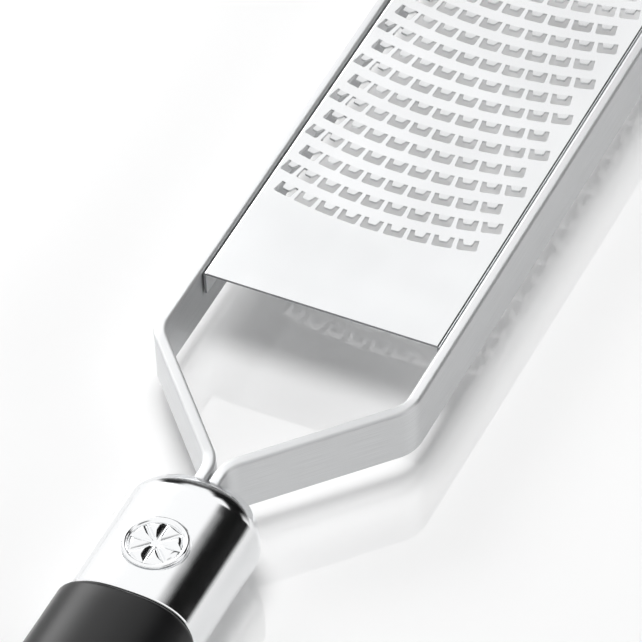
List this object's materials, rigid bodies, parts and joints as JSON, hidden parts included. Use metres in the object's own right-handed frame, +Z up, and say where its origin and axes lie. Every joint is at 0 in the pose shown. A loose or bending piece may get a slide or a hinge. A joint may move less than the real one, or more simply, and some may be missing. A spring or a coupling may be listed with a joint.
{
  "type": "hand zester",
  "caption": "Hand zester: perforated steel blade with raised teeth in a bent flat-strip frame, on a polished bolster with a black moulded grip.",
  "frame": {"origin": "middle of the length and width, on the table that the foot and the grip's belly rest on", "axes": "+X from the grip to the tip, +Y to the left, +Z up, teeth upward"},
  "size_m": [0.3114, 0.055, 0.0218],
  "materials": {
    "brushed_strip": "long-grain brushed stainless",
    "etched_sheet": "bright rolled stainless sheet, etched",
    "polished_casting": "mirror polished",
    "black_plastic": "fine satin moulding",
    "filler_plastic": "plain moulding",
    "pin_steel": "drawn wire",
    "soft_shoe": "matt silicone"
  },
  "bodies": {
    "root": {"frame_bar": "brushed_strip", "grating_blade": "etched_sheet", "front_bolster": "polished_casting", "bolster_medallion": "polished_casting", "grip": "black_plastic", "tang_cheek_left": "filler_plastic", "tang_cheek_right": "filler_plastic", "tang_pin_front": "pin_steel", "tang_pin_middle": "pin_steel", "tang_pin_rear": "pin_steel", "tip_foot": "soft_shoe"}
  },
  "joints": []
}
